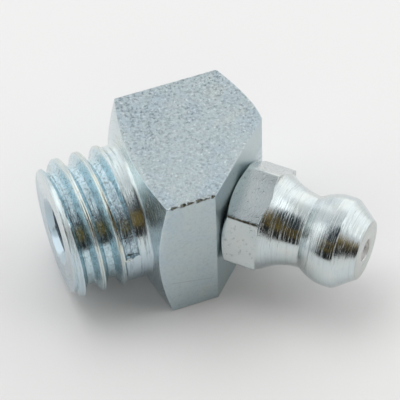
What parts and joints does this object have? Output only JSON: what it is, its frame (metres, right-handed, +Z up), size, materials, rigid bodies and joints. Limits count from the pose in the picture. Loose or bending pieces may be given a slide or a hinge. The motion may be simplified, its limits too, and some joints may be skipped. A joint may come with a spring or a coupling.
{
  "type": "grease nipple",
  "caption": "Angled grease nipple: square body with a threaded shank, a hexagon and a ball-valve head at 45 degrees.",
  "frame": {"origin": "on the shank's axis, at the foot of the body's shoulder, where the shank leaves the body", "axes": "+X along the shank's axis into the body, +Z up, square to the flat that the part rests on; the nipple points towards +X and -Y, 45 degrees from the shank's axis"},
  "size_m": [0.0209, 0.0164, 0.011],
  "materials": {
    "body": "zinc plated steel, blue passivated",
    "nipple": "turned steel, zinc plated",
    "ball": "polished steel",
    "spring": "drawn spring wire"
  },
  "bodies": {
    "housing": {"angle_body": "body", "nipple": "nipple", "spring": "spring"},
    "ball": {"check_ball": "ball"}
  },
  "joints": [
    {"name": "ball_lift", "type": "slide", "parent": "housing", "child": "ball", "axis": [-0.7071, 0.7071, 0], "range_m": [0, 0.0008], "stiffness_N_per_m": 200, "deforming": ["spring"]}
  ]
}
